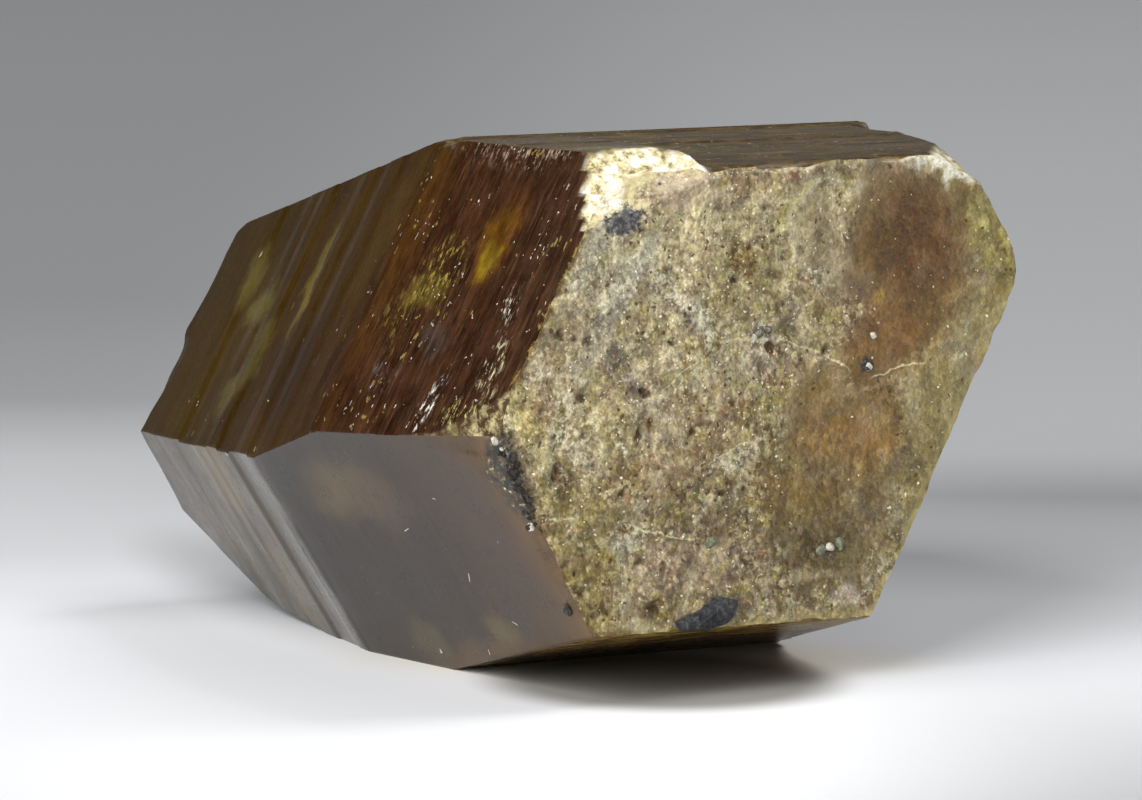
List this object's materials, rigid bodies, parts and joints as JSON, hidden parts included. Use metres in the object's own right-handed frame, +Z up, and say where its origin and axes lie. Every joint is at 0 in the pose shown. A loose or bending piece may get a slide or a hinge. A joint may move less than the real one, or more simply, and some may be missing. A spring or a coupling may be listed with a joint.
{
  "type": "parisite crystal",
  "caption": "Stubby barrel-shaped six-sided mineral crystal with a flat etched end face, stepped sides and a broken rear end, lying on its belly facet.",
  "frame": {"origin": "centre of the footprint's bounding box, on the table plane under the belly facet", "axes": "+Z up off the table, -Y out of the etched end face, +Y towards the broken rear end, +X to the right as seen from the etched end"},
  "size_m": [0.017, 0.0184, 0.0122],
  "materials": {
    "crystal": "etched and grainy on the end faces, glossy and finely striated on the sides"
  },
  "bodies": {
    "root": {"crystal": "crystal"}
  },
  "joints": []
}
